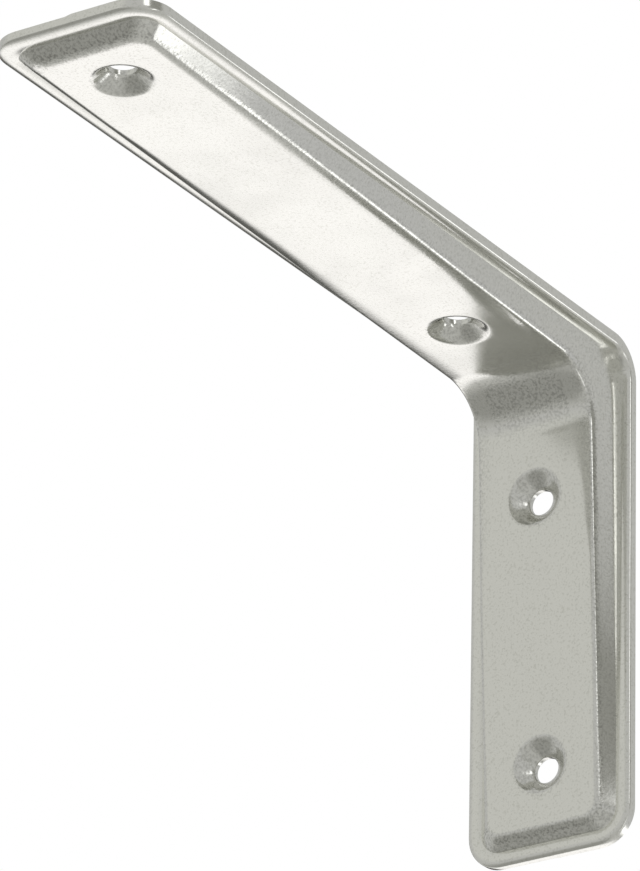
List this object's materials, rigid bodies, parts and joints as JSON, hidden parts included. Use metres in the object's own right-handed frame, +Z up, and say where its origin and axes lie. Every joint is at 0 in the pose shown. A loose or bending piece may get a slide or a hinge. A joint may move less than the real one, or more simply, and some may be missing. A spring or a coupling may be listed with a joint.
{
  "type": "shelf bracket",
  "caption": "Right-angle shelf bracket pressed from one zinc-plated steel sheet, with a rim, a raised stiffening panel and dimpled screw holes.",
  "frame": {"origin": "midway between the two wall screw holes, on the wall plane", "axes": "+X out from the wall along the shelf arm, +Y across the bracket's width, +Z up, towards the shelf"},
  "size_m": [0.2, 0.0426, 0.122],
  "materials": {
    "plated_steel": "bright zinc-plated steel sheet, pressed, satin flats and mottled formed radii"
  },
  "bodies": {
    "root": {"bracket": "plated_steel"}
  },
  "joints": []
}
